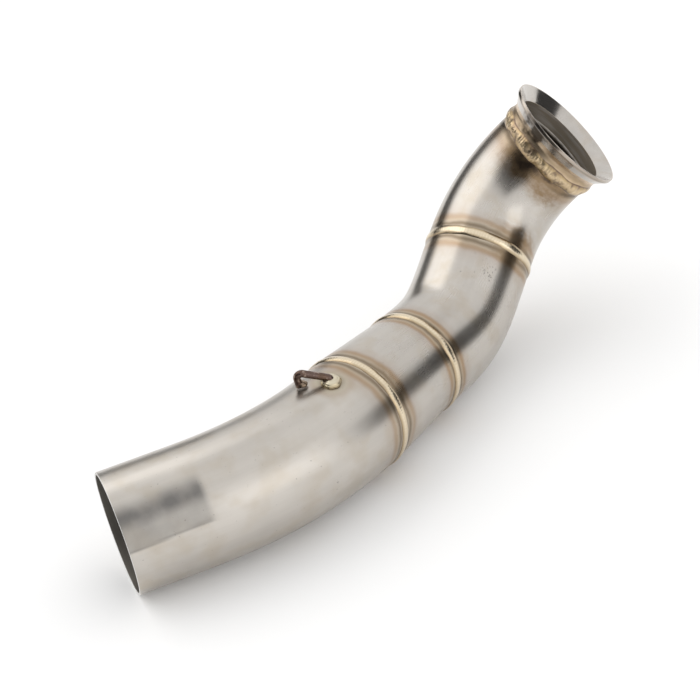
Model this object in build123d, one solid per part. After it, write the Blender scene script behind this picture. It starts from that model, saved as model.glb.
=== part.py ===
from build123d import *
import os

# Exhaust header pipe: three bent stainless tubes and a reducer, butt welded end to end, with a turned
# flared flange at the engine end and a spring hook beside the outlet that the silencer slides over.
# The pipe is worked out from its outlet like a bender's table: how far ahead, how far round, and how
# much the next bend is rolled about the tube. It is then laid down as it comes to rest, with the origin
# under the middle of its box, +X from the outlet towards the flange, +Z up. Millimetres and degrees.

# Tube
OUTLET_OD = 60.0
HEAD_OD = 55.0
WALL = 1.2

# Lower bend, from the open outlet to the lower weld
OUTLET_STUB = 38.5
LOWER_RADIUS = 140.0
LOWER_TURN = 35.5
LOWER_TAIL = 11.0

# Reducer, from the lower weld to the middle weld
REDUCER_LENGTH = 50.0
REDUCER_LIP = 5.0

# Middle bend, from the middle weld to the upper weld
MIDDLE_ROLL = 86.0
MIDDLE_LEAD = 21.0
MIDDLE_RADIUS = 55.0
MIDDLE_TURN = 34.0
MIDDLE_TAIL = 26.0

# Upper bend, from the upper weld to the flange weld
UPPER_ROLL = 76.5
UPPER_LEAD = 6.0
UPPER_RADIUS = 62.0
UPPER_TURN = 50.0
UPPER_TAIL = 8.0

# Butt welds: a crown outside, a root through the gap and a low bead inside
ROOT_GAP = 1.0
WELD_WIDTH = 5.0
WELD_CROWN = 0.8
ROOT_WIDTH = 3.0
ROOT_BEAD = 0.4
FLANGE_WELD_WIDTH = 6.6
FLANGE_WELD_CROWN = 0.9

# Inlet flange: its length from the middle of its weld to the face of its rim, and how far its collar and
# rim stand proud of the head tube
FLANGE_LENGTH = 14.0
COLLAR_PROUD = 1.0
RIM_PROUD = 5.8
RIM_EDGE = 1.6
RIM_LAND = 0.7
FLARE_LENGTH = 6.2
SEAT_DEPTH = 5.2
RIM_CHAMFER = 0.3

# Spring hook: a bent rod whose two feet stand on the lower bend
HOOK_ROD = 2.8
HOOK_TURN = 32.4
HOOK_CLOCK = 107.0
HOOK_SKEW = 43.5
HOOK_SPAN = 14.0
HOOK_HEIGHT = 8.6
HOOK_SHOULDER = 4.2
HOOK_OVERHANG = 2.4
HOOK_BEND = 2.2
HOOK_ROOT = 6.0
REAR_WELD_RADIUS = 3.9
FRONT_WELD_RADIUS = 2.6

# Attitude of the loose pipe on a flat floor, where it rests on its outlet's edge, its lower weld and the start
# of its middle bend: how far it is turned about its outlet's axis, how far that axis rises, and its heading
LAID_CLOCK = 82.298
LAID_RISE = 2.287
LAID_HEADING = -21.9


def ahead(station, length):
    """The station a length further along its own z axis."""
    return station * Pos(0, 0, length)


def round_bend(station, radius, turn):
    """The station carried round a bend whose centre lies a radius away along its own x axis."""
    return station * Pos(radius, 0, 0) * Rot(0, turn, 0) * Pos(-radius, 0, 0)


def bent_rod(section, lead, radius, turn, tail):
    """A section carried straight ahead, round one bend and straight ahead again."""
    bend_start = ahead(Location(), lead)
    bend_end = round_bend(bend_start, radius, turn)
    bend_axis = Axis((radius, 0, 0), (0, 1, 0))
    straight_in = extrude(section, lead)
    bend = bend_start * revolve(section, bend_axis, turn)
    straight_out = bend_end * extrude(section, tail)
    return straight_in + bend + straight_out


def tube_section(outside):
    """The ring of a tube of the common wall."""
    return Circle(outside / 2) - Circle(outside / 2 - WALL)


def turned(outline):
    """The solid of revolution of a closed outline of (radius, height) lines."""
    return revolve(make_face(Plane.XZ * outline), Axis.Z)


def butt_weld(before, after, width, crown):
    """Bead round the joint of two tubes of the given outside diameters, centred on the joint."""
    half, gap, root = width / 2, ROOT_GAP / 2, ROOT_WIDTH / 2
    bore = min(before, after) / 2 - WALL
    top = (before + after) / 4 + crown
    outline = Curve() + [
        ThreePointArc((before / 2, -half), (top, 0), (after / 2, half)),
        Line((after / 2, half), (after / 2, gap)),
        Line((after / 2, gap), (bore, gap)),
        Line((bore, gap), (bore, root)),
        ThreePointArc((bore, root), (bore - ROOT_BEAD, 0), (bore, -root)),
        Line((bore, -root), (bore, -gap)),
        Line((bore, -gap), (before / 2, -gap)),
        Line((before / 2, -gap), (before / 2, -half)),
    ]
    return turned(outline)


def reducer():
    """Cone between two short parallel lips, from just past the lower weld to just short of the middle one."""
    wide, narrow = OUTLET_OD / 2, HEAD_OD / 2
    first, last = ROOT_GAP / 2, REDUCER_LENGTH - ROOT_GAP / 2
    outline = Polyline(
        (wide, first),
        (wide, REDUCER_LIP),
        (narrow, REDUCER_LENGTH - REDUCER_LIP),
        (narrow, last),
        (narrow - WALL, last),
        (narrow - WALL, REDUCER_LENGTH - REDUCER_LIP),
        (wide - WALL, REDUCER_LIP),
        (wide - WALL, first),
        close=True,
    )
    return turned(outline)


def flange():
    """Collar, flared back, narrow rim and the polished conical seat inside it."""
    bore = HEAD_OD / 2 - WALL
    collar = HEAD_OD / 2 + COLLAR_PROUD
    rim = HEAD_OD / 2 + RIM_PROUD
    face = FLANGE_LENGTH
    flare_end = face - RIM_EDGE
    outline = Polyline(
        (bore, ROOT_GAP / 2),
        (collar, ROOT_GAP / 2),
        (collar, flare_end - FLARE_LENGTH),
        (rim, flare_end),
        (rim, face - RIM_CHAMFER),
        (rim - RIM_CHAMFER, face),
        (rim - RIM_LAND, face),
        (bore, face - SEAT_DEPTH),
        close=True,
    )
    return turned(outline)


# Stations along the pipe, each with +Z the way the pipe runs on
outlet = Location()
lower_bend_start = ahead(outlet, OUTLET_STUB)
lower_joint = ahead(round_bend(lower_bend_start, LOWER_RADIUS, LOWER_TURN), LOWER_TAIL)
middle_joint = ahead(lower_joint, REDUCER_LENGTH) * Rot(0, 0, MIDDLE_ROLL)
middle_bend_start = ahead(middle_joint, MIDDLE_LEAD)
upper_joint = ahead(round_bend(middle_bend_start, MIDDLE_RADIUS, MIDDLE_TURN), MIDDLE_TAIL) * Rot(0, 0, UPPER_ROLL)
upper_bend_start = ahead(upper_joint, UPPER_LEAD)
flange_joint = ahead(round_bend(upper_bend_start, UPPER_RADIUS, UPPER_TURN), UPPER_TAIL)

collar_od = HEAD_OD + 2 * COLLAR_PROUD
half_gap = ROOT_GAP / 2
lower_run = (OUTLET_STUB, LOWER_RADIUS, LOWER_TURN, LOWER_TAIL - half_gap)
middle_run = (MIDDLE_LEAD - half_gap, MIDDLE_RADIUS, MIDDLE_TURN, MIDDLE_TAIL - half_gap)
upper_run = (UPPER_LEAD - half_gap, UPPER_RADIUS, UPPER_TURN, UPPER_TAIL - half_gap)

pieces = {
    "lower_bend": outlet * bent_rod(tube_section(OUTLET_OD), *lower_run),
    "lower_weld": lower_joint * butt_weld(OUTLET_OD, OUTLET_OD, WELD_WIDTH, WELD_CROWN),
    "reducer_cone": lower_joint * reducer(),
    "middle_weld": middle_joint * butt_weld(HEAD_OD, HEAD_OD, WELD_WIDTH, WELD_CROWN),
    "middle_bend": ahead(middle_joint, half_gap) * bent_rod(tube_section(HEAD_OD), *middle_run),
    "upper_weld": upper_joint * butt_weld(HEAD_OD, HEAD_OD, WELD_WIDTH, WELD_CROWN),
    "upper_bend": ahead(upper_joint, half_gap) * bent_rod(tube_section(HEAD_OD), *upper_run),
    "flange_weld": flange_joint * butt_weld(HEAD_OD, collar_od, FLANGE_WELD_WIDTH, FLANGE_WELD_CROWN),
    "inlet_flange": flange_joint * flange(),
}

# Spring hook: its frame has +X straight out of the tube and +Z from the front foot to the rear one
hook_frame = (
    round_bend(lower_bend_start, LOWER_RADIUS, HOOK_TURN)
    * Rot(0, 0, HOOK_CLOCK)
    * Pos(OUTLET_OD / 2, 0, 0)
    * Rot(-HOOK_SKEW, 0, 0)
)
rod_line = FilletPolyline(
    (-HOOK_ROOT, 0),
    (HOOK_SHOULDER, 0),
    (HOOK_HEIGHT, -HOOK_SPAN - HOOK_OVERHANG),
    (-HOOK_ROOT, -HOOK_SPAN),
    radius=HOOK_BEND,
)
rod_path = Plane.XZ * rod_line
rod = sweep(Plane(origin=rod_path @ 0, z_dir=rod_path % 0) * Circle(HOOK_ROD / 2), path=rod_path)
lower_core = outlet * bent_rod(Circle(OUTLET_OD / 2), *lower_run)
hook = hook_frame * rod - lower_core
pieces["spring_hook"] = hook

# A dome of weld round each foot, with the sphere's seam on the side that the tube takes away
rear_foot = hook_frame * Rot(0, 0, 180)
front_foot = hook_frame * Pos(0, 0, -HOOK_SPAN) * Rot(0, 0, 180)
rear_weld = rear_foot * Sphere(REAR_WELD_RADIUS)
front_weld = front_foot * Sphere(FRONT_WELD_RADIUS)
pieces["hook_weld_rear"] = rear_weld - lower_core - hook
pieces["hook_weld_front"] = front_weld - lower_core - hook

# Lay the pipe down, then move the origin under the middle of its box
laid = Rot(0, 0, LAID_HEADING) * Rot(0, 90 - LAID_RISE, 0) * Rot(0, 0, LAID_CLOCK)
box = Compound(children=[laid * piece for piece in pieces.values()]).bounding_box()
to_floor = Pos(-box.center().X, -box.center().Y, -box.min.Z)

os.makedirs("parts", exist_ok=True)
for name, piece in pieces.items():
    export_step(to_floor * laid * piece, f"parts/{name}.step")
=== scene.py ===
"""Exhaust header pipe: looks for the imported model.

The pipe is followed from its open outlet to its inlet flange. A skin of it is a closed outline of
(length along the pipe, distance from the pipe's axis) carried round that bent axis, so tubes, cone,
beads and flange are all one kind of surface, worked out as whole arrays. Lengths here are metres, and
a clock is an angle about the pipe's axis.
"""

import logging
from dataclasses import dataclass, field
from enum import Enum
from typing import Callable, Optional, Sequence, Union

import bpy
import numpy as np
from mathutils import Matrix, Vector


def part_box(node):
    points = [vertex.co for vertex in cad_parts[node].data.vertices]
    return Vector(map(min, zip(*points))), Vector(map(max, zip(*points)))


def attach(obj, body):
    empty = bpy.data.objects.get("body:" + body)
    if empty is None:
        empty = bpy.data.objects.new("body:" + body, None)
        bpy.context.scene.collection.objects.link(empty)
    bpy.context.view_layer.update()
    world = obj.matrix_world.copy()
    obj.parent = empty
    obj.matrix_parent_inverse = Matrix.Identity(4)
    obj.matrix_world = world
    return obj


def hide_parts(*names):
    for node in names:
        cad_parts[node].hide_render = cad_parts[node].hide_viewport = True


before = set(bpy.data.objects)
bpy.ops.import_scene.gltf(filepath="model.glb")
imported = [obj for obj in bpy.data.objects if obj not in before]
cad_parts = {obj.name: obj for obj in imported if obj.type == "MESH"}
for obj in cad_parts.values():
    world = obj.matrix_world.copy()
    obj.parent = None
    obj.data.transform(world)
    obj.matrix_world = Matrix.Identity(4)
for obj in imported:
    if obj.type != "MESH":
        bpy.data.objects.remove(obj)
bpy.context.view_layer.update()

LOG = logging.getLogger("header pipe")
MM = 0.001
OUTLET_RADIUS = 30.0 * MM
HEAD_RADIUS = 27.5 * MM
WALL = 1.2 * MM
HALF_GAP = 0.5 * MM

Colour = tuple[float, float, float]
Place = tuple[float, float, float]
Array = np.ndarray


class Slot(Enum):
    """The record's material slots."""

    TUBE = "tube"
    WELD = "weld"
    FLANGE = "flange"
    HOOK = "hook"


class Field(Enum):
    """Values that a skin carries on its points for its material to read."""

    LAY = "lay"
    BUTT_GAP = "butt_gap"
    FLANGE_GAP = "flange_gap"
    HOOK_GAP = "hook_gap"
    # Depth of scorch marks, and of the painted shade and painted reflection laid with them.
    SCORCH_AND_SHADE = "scorch"
    # Share of the rubbed patch; on the flange, of its darker rim edge and the painted shade behind the rim.
    RUBBED_AND_SHADED = "rubbed"
    PITTED = "pitted"
    ACROSS = "across"
    RIPPLE = "ripple"
    INSIDE = "inside"


# The run of the pipe


@dataclass(frozen=True)
class Bend:
    """One bend of the pipe between two straights, rolled about the tube before it starts.

    Attributes:
        roll: Turn of the bend's plane about the tube from the bend before, in degrees.
        lead: Straight length before the bend.
        radius: Radius of the bend on the tube's axis.
        turn: Angle of the bend, in degrees.
        tail: Straight length after the bend.
        ease: Half the length over which the bend sets in and dies away.
    """

    roll: float
    lead: float
    radius: float
    turn: float
    tail: float
    ease: float

    @property
    def arc(self) -> float:
        """Length of the bent part along the axis."""
        return self.radius * np.radians(self.turn)

    @property
    def length(self) -> float:
        """Length of the axis from the start of the lead to the end of the tail."""
        return self.lead + self.arc + self.tail


@dataclass(frozen=True)
class Resting:
    """How the loose pipe lies: clock about its outlet's axis, rise of that axis and heading, in degrees."""

    clock: float = 82.298
    rise: float = 2.287
    heading: float = -21.9


def turn_about(axis: int, degrees: float) -> Array:
    """Rotation matrix about one of the three axes.

    Args:
        axis: 0, 1 or 2 for x, y or z.
        degrees: Angle by the right-hand rule.

    Returns:
        A 3 by 3 matrix.
    """
    angle = np.radians(degrees)
    cosine, sine = np.cos(angle), np.sin(angle)
    after, last = (axis + 1) % 3, (axis + 2) % 3
    matrix = np.eye(3)
    matrix[after, after] = matrix[last, last] = cosine
    matrix[last, after], matrix[after, last] = sine, -sine
    return matrix


@dataclass(frozen=True)
class Span:
    """One straight or arc of the axis, before its bends are eased.

    Attributes:
        start: Length along the pipe at which it starts.
        end: Length at which it ends.
        place: The axis's place at its start.
        directions: Matrix there, whose columns are two cross directions and the way the pipe runs.
        radius: Radius of the arc, or 0 for a straight.
        roll: Clock towards which the arc bends, in degrees.
    """

    start: float
    end: float
    place: Array
    directions: Array
    radius: float
    roll: float

    def carry(self, lengths: Array) -> tuple[Array, Array]:
        """Places and directions at lengths into the span.

        In a bend of radius R and plane direction p, with a = length / R, the axis is at
        R (1 - cos a) p + R sin a z, and every direction is turned by a about z cross p.

        Args:
            lengths: Lengths from the span's start, N of them.

        Returns:
            Places, N by 3, and matrices of directions, N by 3 by 3.
        """
        tangent = self.directions[:, 2]
        if self.radius == 0.0:
            places = self.place + lengths[:, None] * tangent
            return places, np.repeat(self.directions[None], len(lengths), axis=0)
        clock = np.radians(self.roll)
        inward = np.cos(clock) * self.directions[:, 0] + np.sin(clock) * self.directions[:, 1]
        hinge = np.cross(tangent, inward)
        angle = (lengths / self.radius)[:, None]
        places = self.place + self.radius * ((1 - np.cos(angle)) * inward + np.sin(angle) * tangent)
        skew = np.array([[0, -hinge[2], hinge[1]], [hinge[2], 0, -hinge[0]], [-hinge[1], hinge[0], 0]])
        angle = angle[..., None]
        turns = np.eye(3) + np.sin(angle) * skew + (1 - np.cos(angle)) * (skew @ skew)
        return places, turns @ self.directions


@dataclass
class PipeAxis:
    """The bent axis of the whole pipe, with a pair of cross directions that never spin about it.

    A straight keeps its directions. A bend turns them all about the bend's centre line, and the roll of a
    bend changes only which way it bends, so the clock round the pipe means the same from end to end. The
    bends set in gently, as a bent tube's do: each place on the axis is the mean of straights and arcs
    over the bend's ease on either side, which moves it by ease^2 / 6 radius at most.

    Attributes:
        lower: The bend beside the outlet.
        reducer: Length from the lower weld to the middle one.
        middle: The bend from the middle weld to the upper one.
        upper: The bend from the upper weld to the flange's.
        flange: Length from the flange's weld to its face.
        resting: How the loose pipe lies.
        outlet: Place of the outlet's middle.
        step: Length between two rows of the table.
        overrun: How far the table runs on past either end.
        samples: How many places of the sharp axis a row of the table is the mean of.
        spans: The straights and arcs, end to end.
        lengths: Length along the pipe of each row of the table.
        table: The eased axis, each row a place and nine parts of the directions.
    """

    lower: Bend = Bend(roll=0.0, lead=0.0385, radius=0.140, turn=35.5, tail=0.011, ease=0.011)
    reducer: float = 0.050
    middle: Bend = Bend(roll=86.0, lead=0.021, radius=0.055, turn=34.0, tail=0.026, ease=0.012)
    upper: Bend = Bend(roll=76.5, lead=0.006, radius=0.062, turn=50.0, tail=0.008, ease=0.006)
    flange: float = 0.014
    resting: Resting = Resting()
    outlet: Place = (0.0, 0.0, 0.0)
    step: float = 0.0001
    overrun: float = 0.005
    samples: int = 25
    spans: list[Span] = field(init=False)
    lengths: Array = field(init=False)
    table: Array = field(init=False)

    def __post_init__(self) -> None:
        """Lays the spans end to end and fills the table."""
        laid = turn_about(2, self.resting.heading) @ turn_about(1, 90.0 - self.resting.rise)
        directions = laid @ turn_about(2, self.resting.clock)
        place, along, roll = np.array(self.outlet), 0.0, 0.0
        self.spans = []
        for bend, gap in ((self.lower, self.reducer), (self.middle, 0.0), (self.upper, self.flange)):
            roll += bend.roll
            for length, radius in ((bend.lead, 0.0), (bend.arc, bend.radius), (bend.tail + gap, 0.0)):
                span = Span(along, along + length, place, directions, radius, roll)
                self.spans.append(span)
                places, turned = span.carry(np.array([length]))
                place, directions = places[0], turned[0]
                along += length
        self.lengths = np.arange(-self.overrun, along + self.overrun, self.step)
        self.table = self._eased(self.lengths)

    def _eased(self, lengths: Array) -> Array:
        """Rows of the table: the mean of the sharp axis over the ease either side of each length."""
        middle_starts = self.lower_joint + self.reducer / 2
        upper_starts = self.upper_joint - self.middle.tail / 2
        ease = np.where(lengths < upper_starts, self.middle.ease, self.upper.ease)
        ease = np.where(lengths < middle_starts, self.lower.ease, ease)
        places, directions = self._sharp(lengths[:, None] + ease[:, None] * np.linspace(-1, 1, self.samples))
        tangent = directions[..., 2].mean(1)
        tangent /= np.linalg.norm(tangent, axis=1)[:, None]
        first = directions[..., 0].mean(1)
        first -= (first * tangent).sum(1)[:, None] * tangent
        first /= np.linalg.norm(first, axis=1)[:, None]
        turned = np.stack([first, np.cross(tangent, first), tangent], axis=-1)
        return np.hstack([places.mean(1), turned.reshape(-1, 9)])

    def _sharp(self, along: Array) -> tuple[Array, Array]:
        """Places and directions where each bend sets in at once, running on straight past the ends."""
        flat = along.ravel()
        places, directions = np.zeros((flat.size, 3)), np.zeros((flat.size, 3, 3))
        for span in self.spans:
            low = -np.inf if span is self.spans[0] else span.start
            high = np.inf if span is self.spans[-1] else span.end
            here = (flat >= low) & (flat < high)
            places[here], directions[here] = span.carry(flat[here] - span.start)
        return places.reshape(*along.shape, 3), directions.reshape(*along.shape, 3, 3)

    def at(self, along: Array) -> tuple[Array, Array]:
        """Places and directions of the eased axis, read between the table's rows.

        Args:
            along: Lengths from the outlet, of any shape, up to the overrun past either end.

        Returns:
            Places with shape (..., 3) and matrices with shape (..., 3, 3) whose columns are the two
            cross directions and the way the pipe runs.
        """
        flat = along.ravel()
        read = np.stack([np.interp(flat, self.lengths, column) for column in self.table.T], axis=-1)
        return read[:, :3].reshape(*along.shape, 3), read[:, 3:].reshape(*along.shape, 3, 3)

    @property
    def lower_joint(self) -> float:
        """Length to the weld between the lower bend and the reducer."""
        return self.lower.length

    @property
    def middle_joint(self) -> float:
        """Length to the weld between the reducer and the middle bend."""
        return self.lower_joint + self.reducer

    @property
    def upper_joint(self) -> float:
        """Length to the weld between the middle and upper bends."""
        return self.middle_joint + self.middle.length

    @property
    def flange_joint(self) -> float:
        """Length to the weld between the upper bend and the flange."""
        return self.upper_joint + self.upper.length


def whole_turn(count: int) -> Array:
    """Angles of a whole turn in even steps, in radians, without the last, which is the first again."""
    return np.linspace(0, 2 * np.pi, count, endpoint=False)


@dataclass(frozen=True)
class PipeGrid:
    """Points carried round the pipe, each row of them a ring.

    Attributes:
        clock: Angles of the columns, in radians.
        along: Lengths along the pipe, rows by columns.
        radius: Distances from the axis, rows by columns.
        points: Places, rows by columns by 3.
    """

    clock: Array
    along: Array
    radius: Array
    points: Array

    @classmethod
    def carried(cls, axis: PipeAxis, along: Array, radius: Array, columns: int) -> "PipeGrid":
        """Carries lengths and distances round the axis.

        A point is the axis's place plus radius times (cos clock of the first cross direction plus
        sin clock of the second).

        Args:
            axis: The pipe's axis.
            along: Lengths, rows by columns or rows by 1.
            radius: Distances from the axis, rows by columns or rows by 1.
            columns: Points in a ring.

        Returns:
            The grid.
        """
        clock = whole_turn(columns)
        along, radius = along + 0 * clock, radius + 0 * clock
        places, directions = axis.at(along)
        outward = np.cos(clock)[:, None] * directions[..., 0] + np.sin(clock)[:, None] * directions[..., 1]
        return cls(clock, along, radius, places + radius[..., None] * outward)


def pipe_on_the_floor() -> PipeAxis:
    """The pipe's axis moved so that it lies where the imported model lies.

    The axis is laid with its outlet at the origin first. The lower bend's box is then known in both
    places, and the outlet goes where the middles of the two boxes meet.

    Returns:
        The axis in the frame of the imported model.
    """
    loose = PipeAxis()
    along = np.linspace(0.0, loose.lower_joint - HALF_GAP, 600)[:, None]
    skin = PipeGrid.carried(loose, along, np.array([[OUTLET_RADIUS]]), 720).points.reshape(-1, 3)
    loose_middle = (skin.min(0) + skin.max(0)) / 2
    packed_middle = np.mean(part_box("lower_bend"), axis=0)
    return PipeAxis(outlet=tuple(packed_middle - loose_middle))


# Meshes


@dataclass
class Skin:
    """A grid of points with the values that its points carry.

    Attributes:
        points: Rows by columns by 3.
        fields: Values on the points, rows by columns, or by 3 for a vector.
        rows_close: Whether the last row joins the first. Otherwise each end is closed by a fan.
    """

    points: Array
    fields: dict[Field, Array]
    rows_close: bool = True

    def closed(self) -> tuple[Array, dict[Field, Array], list[list[int]]]:
        """The surface closed and facing outwards.

        The sum over all triangles of a . (b x c) is six times the volume held, and its sign says whether
        the faces point outwards.

        Returns:
            Points, their values by field, and faces.
        """
        rows, columns = self.points.shape[:2]
        points = self.points.reshape(-1, 3)
        values = {key: value.reshape(rows * columns, -1) for key, value in self.fields.items()}
        row = np.arange(rows if self.rows_close else rows - 1)[:, None]
        column = np.arange(columns)
        here, next_row, beside = row * columns, (row + 1) % rows * columns, (column + 1) % columns
        quads = np.stack([here + column, here + beside, next_row + beside, next_row + column], axis=-1)
        quads = quads.reshape(-1, 4)
        corners = points[quads]
        volume = sum(
            np.einsum("ij,ij->i", corners[:, 0], np.cross(corners[:, i], corners[:, i + 1])).sum()
            for i in (1, 2)
        )
        faces: list[list[int]] = quads.tolist()
        if not self.rows_close:
            points = np.vstack([points, self.points[[0, -1]].mean(axis=1)])
            values = {
                key: np.vstack([value, value[:columns].mean(0), value[-columns:].mean(0)])
                for key, value in values.items()
            }
            first_tip, last_row = rows * columns, (rows - 1) * columns
            faces += [[first_tip, ahead, at] for at, ahead in zip(column.tolist(), beside.tolist())]
            faces += [
                [first_tip + 1, last_row + at, last_row + ahead]
                for at, ahead in zip(column.tolist(), beside.tolist())
            ]
        if volume < 0:
            faces = [face[::-1] for face in faces]
        return points, values, faces

    def object(self, name: str, material: bpy.types.Material, crease: float = 38.0) -> bpy.types.Object:
        """Makes the mesh object, smooth but for edges sharper than the crease.

        Args:
            name: Name of the object.
            material: Its material.
            crease: Angle in degrees above which an edge is left sharp.

        Returns:
            The object, at the origin.
        """
        points, values, faces = self.closed()
        mesh = bpy.data.meshes.new(name)
        mesh.from_pydata(points.tolist(), [], faces)
        mesh.polygons.foreach_set("use_smooth", np.ones(len(faces), bool))
        mesh.set_sharp_from_angle(angle=np.radians(crease))
        for key, value in values.items():
            kind, part = ("FLOAT_VECTOR", "vector") if value.shape[1] == 3 else ("FLOAT", "value")
            layer = mesh.attributes.new(key.value, kind, "POINT")
            layer.data.foreach_set(part, value.astype(np.float32).ravel())
        mesh.materials.append(material)
        mesh.update()
        built = bpy.data.objects.new(name, mesh)
        bpy.context.scene.collection.objects.link(built)
        return built


def eased_profile(corners: Sequence[tuple[float, float, float]], spacing: float) -> Array:
    """A closed outline with each corner rounded, as (along, radius) points.

    At a corner with radius q between directions u and v, the curve runs from q t before it to q t past
    it, t = tan(half the turn), as the quadratic blend (1-k)^2 start + 2k(1-k) corner + k^2 end.
    Straights are divided at about the spacing.

    Args:
        corners: (along, radius, rounding) in metres.
        spacing: Longest step on a straight.

    Returns:
        Points, N by 2.
    """
    places = np.array([corner[:2] for corner in corners])
    rounding = np.array([corner[2] for corner in corners])
    before, after = np.roll(places, 1, axis=0), np.roll(places, -1, axis=0)
    back = (before - places) / np.linalg.norm(before - places, axis=1)[:, None]
    on = (after - places) / np.linalg.norm(after - places, axis=1)[:, None]
    opening = np.arccos(np.clip((back * on).sum(1), -1, 1))
    reach = rounding * np.tan((np.pi - opening) / 2)
    starts, ends = places + back * reach[:, None], places + on * reach[:, None]
    blend = np.linspace(0, 1, 6)[:, None]
    weights = (1 - blend) ** 2, 2 * blend * (1 - blend), blend**2
    outline: list[Array] = []
    for index, corner in enumerate(places):
        if rounding[index] > 0:
            outline.append(weights[0] * starts[index] + weights[1] * corner + weights[2] * ends[index])
        else:
            outline.append(corner[None])
        run = starts[(index + 1) % len(places)] - ends[index]
        pieces = max(1, int(np.ceil(np.linalg.norm(run) / spacing)))
        outline.append(ends[index] + np.linspace(0, 1, pieces + 1)[1:-1, None] * run)
    return np.vstack(outline)


def waves(clock: Array, seed: int, count: int, lowest: int, highest: int) -> Array:
    """A smooth uneven value round a ring, about -1 to 1: a sum of sines of whole numbers of turns.

    Args:
        clock: Angles in radians.
        seed: Seed of the phases.
        count: How many sines.
        lowest: Fewest turns.
        highest: Most turns.

    Returns:
        Values with the shape of clock.
    """
    chance = np.random.default_rng(seed)
    turns = chance.integers(lowest, highest + 1, count)
    phases = chance.uniform(0, 2 * np.pi, count)
    return np.sin(turns * clock[..., None] + phases).sum(-1) / np.sqrt(count)


def smooth_step(low: float, high: float, value: Array) -> Array:
    """A smooth step, 0 at low and 1 at high: x^2 (3 - 2x) of the clipped share x of the way."""
    share = np.clip((value - low) / (high - low), 0, 1)
    return share * share * (3 - 2 * share)


# Marks on the steel


@dataclass(frozen=True)
class Mark:
    """A mark on the steel: place along and round the pipe, its reach each way and its depth.

    Attributes:
        along: Length of its middle along the pipe.
        clock: Clock of its middle, in degrees.
        reach_along: How far it reaches along the pipe.
        reach_round: How far it reaches round the pipe, on the steel.
        depth: How deep it is in its middle, 0 to 1.
    """

    along: float
    clock: float
    reach_along: float
    reach_round: float
    depth: float


@dataclass(frozen=True)
class RubbedPatch:
    """The dull patch that a clamped sleeve left beside the outlet. Its clocks are degrees.

    Attributes:
        end: Length along the pipe at which it ends.
        edge: Half the length over which that end fades.
        fades_from: Clock at which it begins.
        full_from: Clock from which it is full.
        thin_from: Clock from which it is thin.
        stops: Clock at which it stops.
        wander: How far its sides wander, in degrees.
        pace: Pace of that wandering, in radians per metre.
        thinned: Share of it that is lost where it is thin.
        line: Depth of the line along the side where it stops.
        line_inset: How far the line lies before that side, in degrees.
        line_width: Half the width of the line, in degrees.
        past: How far past its stop it has gone, in degrees.
        short: How far short of its stop it begins to go, in degrees.
    """

    end: float = 0.0402
    edge: float = 0.0021
    fades_from: float = 124.0
    full_from: float = 144.0
    thin_from: float = 158.0
    stops: float = 173.5
    wander: float = 2.5
    pace: float = 40.0
    thinned: float = 0.55
    line: float = 0.22
    line_inset: float = 1.2
    line_width: float = 1.1
    past: float = 1.0
    short: float = 0.6

    def depth(self, grid: PipeGrid) -> Array:
        """How rubbed the steel is, 0 to 1, at the points of a grid, rows by columns.

        A point's clock is first moved by wander sin^2(pace length), so that the sides aren't straight.
        """
        clock = np.degrees(grid.clock) % 360 + self.wander * np.sin(grid.along * self.pace) ** 2
        side = smooth_step(self.fades_from, self.full_from, clock)
        thin = 1 - self.thinned * smooth_step(self.full_from, self.thin_from, clock)
        lined = self.line * np.exp(-(((clock - self.stops + self.line_inset) / self.line_width) ** 2))
        kept = smooth_step(self.stops + self.past, self.stops - self.short, clock)
        ended = smooth_step(self.end + self.edge, self.end - self.edge, grid.along)
        return (side * thin + lined) * kept * ended


@dataclass(frozen=True)
class HeatMap:
    """Where the steel is marked by heat and by use, and where shade is painted on it.

    Attributes:
        butt: Length along the pipe of each butt weld, and how far its heat spread.
        flange: Length of the flange's weld.
        hook: Place of the hook's rear foot.
        scorches_and_shade: Scorch marks, with painted shade on the neck and a painted reflection on the
            flare.
        pits: Places where specks crowd.
        rubbed: The rubbed patch beside the outlet.
    """

    butt: tuple[tuple[float, float], ...]
    flange: float
    hook: Place
    scorches_and_shade: tuple[Mark, ...]
    pits: tuple[Mark, ...]
    rubbed: RubbedPatch = RubbedPatch()

    @staticmethod
    def depth(marks: Sequence[Mark], grid: PipeGrid) -> Array:
        """How deep the marks are: the sum of exp(-(along offset / reach)^2 - (arc offset / reach)^2).

        Args:
            marks: The marks.
            grid: The grid of points.

        Returns:
            Values from 0 to 1, rows by columns.
        """
        total = np.zeros_like(grid.along)
        for mark in marks:
            turn = (grid.clock - np.radians(mark.clock) + np.pi) % (2 * np.pi) - np.pi
            offset_along = (grid.along - mark.along) / mark.reach_along
            offset_round = turn * grid.radius / mark.reach_round
            total += mark.depth * np.exp(-(offset_along**2) - offset_round**2)
        return np.clip(total, 0, 1)

    def fields(self, grid: PipeGrid, inside: Array) -> dict[Field, Array]:
        """Values for the points of a skin.

        The lay is (length, radius cos clock, radius sin clock), the pipe as if it were straight. The gaps
        are distances to the nearest weld, a butt weld's divided by how far its heat spread.

        Args:
            grid: The grid of points.
            inside: 0 outside the pipe, up to 1 inside it, rows by columns.

        Returns:
            The fields of the skin.
        """
        across, up = grid.radius * np.cos(grid.clock), grid.radius * np.sin(grid.clock)
        butt_gaps = [np.abs(grid.along - weld) / spread for weld, spread in self.butt]
        return {
            Field.LAY: np.stack([grid.along, across, up], axis=-1),
            Field.BUTT_GAP: np.min(butt_gaps, axis=0),
            Field.FLANGE_GAP: np.abs(grid.along - self.flange),
            Field.HOOK_GAP: np.linalg.norm(grid.points - np.array(self.hook), axis=-1),
            Field.SCORCH_AND_SHADE: self.depth(self.scorches_and_shade, grid),
            Field.PITTED: self.depth(self.pits, grid),
            Field.RUBBED_AND_SHADED: self.rubbed.depth(grid) * (inside == 0),
            Field.INSIDE: inside,
        }


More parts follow.
